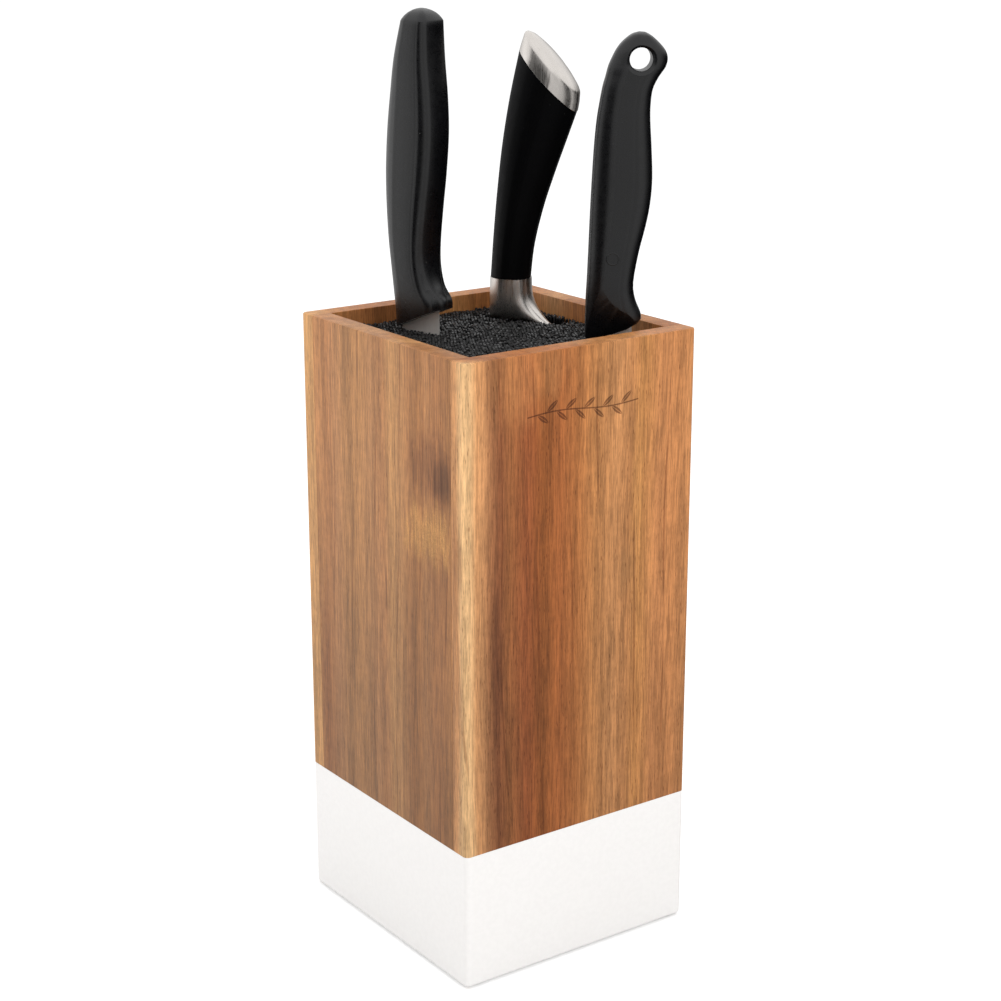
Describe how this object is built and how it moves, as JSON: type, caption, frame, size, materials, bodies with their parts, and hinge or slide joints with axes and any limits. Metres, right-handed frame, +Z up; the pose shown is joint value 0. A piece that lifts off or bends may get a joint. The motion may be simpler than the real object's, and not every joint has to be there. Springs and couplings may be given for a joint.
{
  "type": "knife block with knives",
  "caption": "Upright square wooden knife block with a white painted foot, filled with plastic rods that hold black-handled kitchen knives.",
  "frame": {"origin": "centre of the footprint, on the surface the pads stand on", "axes": "+Z up; the front board faces -Y; +X is to the right seen from the front"},
  "size_m": [0.1, 0.105, 0.3391],
  "materials": {
    "acacia": "oiled satin",
    "white_lacquer": "satin lacquer",
    "beech": "plain",
    "pad_rubber": "matt",
    "tray_plastic": "satin",
    "rod_plastic": "satin",
    "handle_plastic": "fine moulded grain",
    "grip_plastic": "soft-touch matt",
    "brushed_steel": "satin brushed",
    "blade_steel": "fine ground"
  },
  "bodies": {
    "block": {"front_board": "acacia", "back_board": "acacia", "left_board": "acacia", "right_board": "acacia", "base_board": "acacia", "white_lacquer": "white_lacquer", "corner_dowels": "beech", "base_dowels": "beech", "pad_front_left": "pad_rubber", "pad_front_right": "pad_rubber", "pad_back_left": "pad_rubber", "pad_back_right": "pad_rubber"},
    "rod_insert": {"insert_tray": "tray_plastic", "rod_pack": "rod_plastic"},
    "utility_knife": {"utility_blade": "blade_steel", "utility_handle": "handle_plastic"},
    "slicing_knife": {"slicer_blade": "blade_steel", "slicer_bolster": "brushed_steel", "slicer_grip": "grip_plastic", "slicer_end_cap": "brushed_steel"},
    "paring_knife": {"paring_blade": "blade_steel", "paring_handle": "handle_plastic"}
  },
  "joints": [
    {"name": "insert_lift", "type": "slide", "parent": "block", "child": "rod_insert", "axis": [0, 0, 1], "range_m": [0, 0.225]},
    {"name": "utility_draw", "type": "slide", "parent": "rod_insert", "child": "utility_knife", "axis": [0, 0, 1], "range_m": [0, 0.14]},
    {"name": "slicer_draw", "type": "slide", "parent": "rod_insert", "child": "slicing_knife", "axis": [0, 0, 1], "range_m": [0, 0.175]},
    {"name": "paring_draw", "type": "slide", "parent": "rod_insert", "child": "paring_knife", "axis": [0, 0, 1], "range_m": [0, 0.105]}
  ]
}
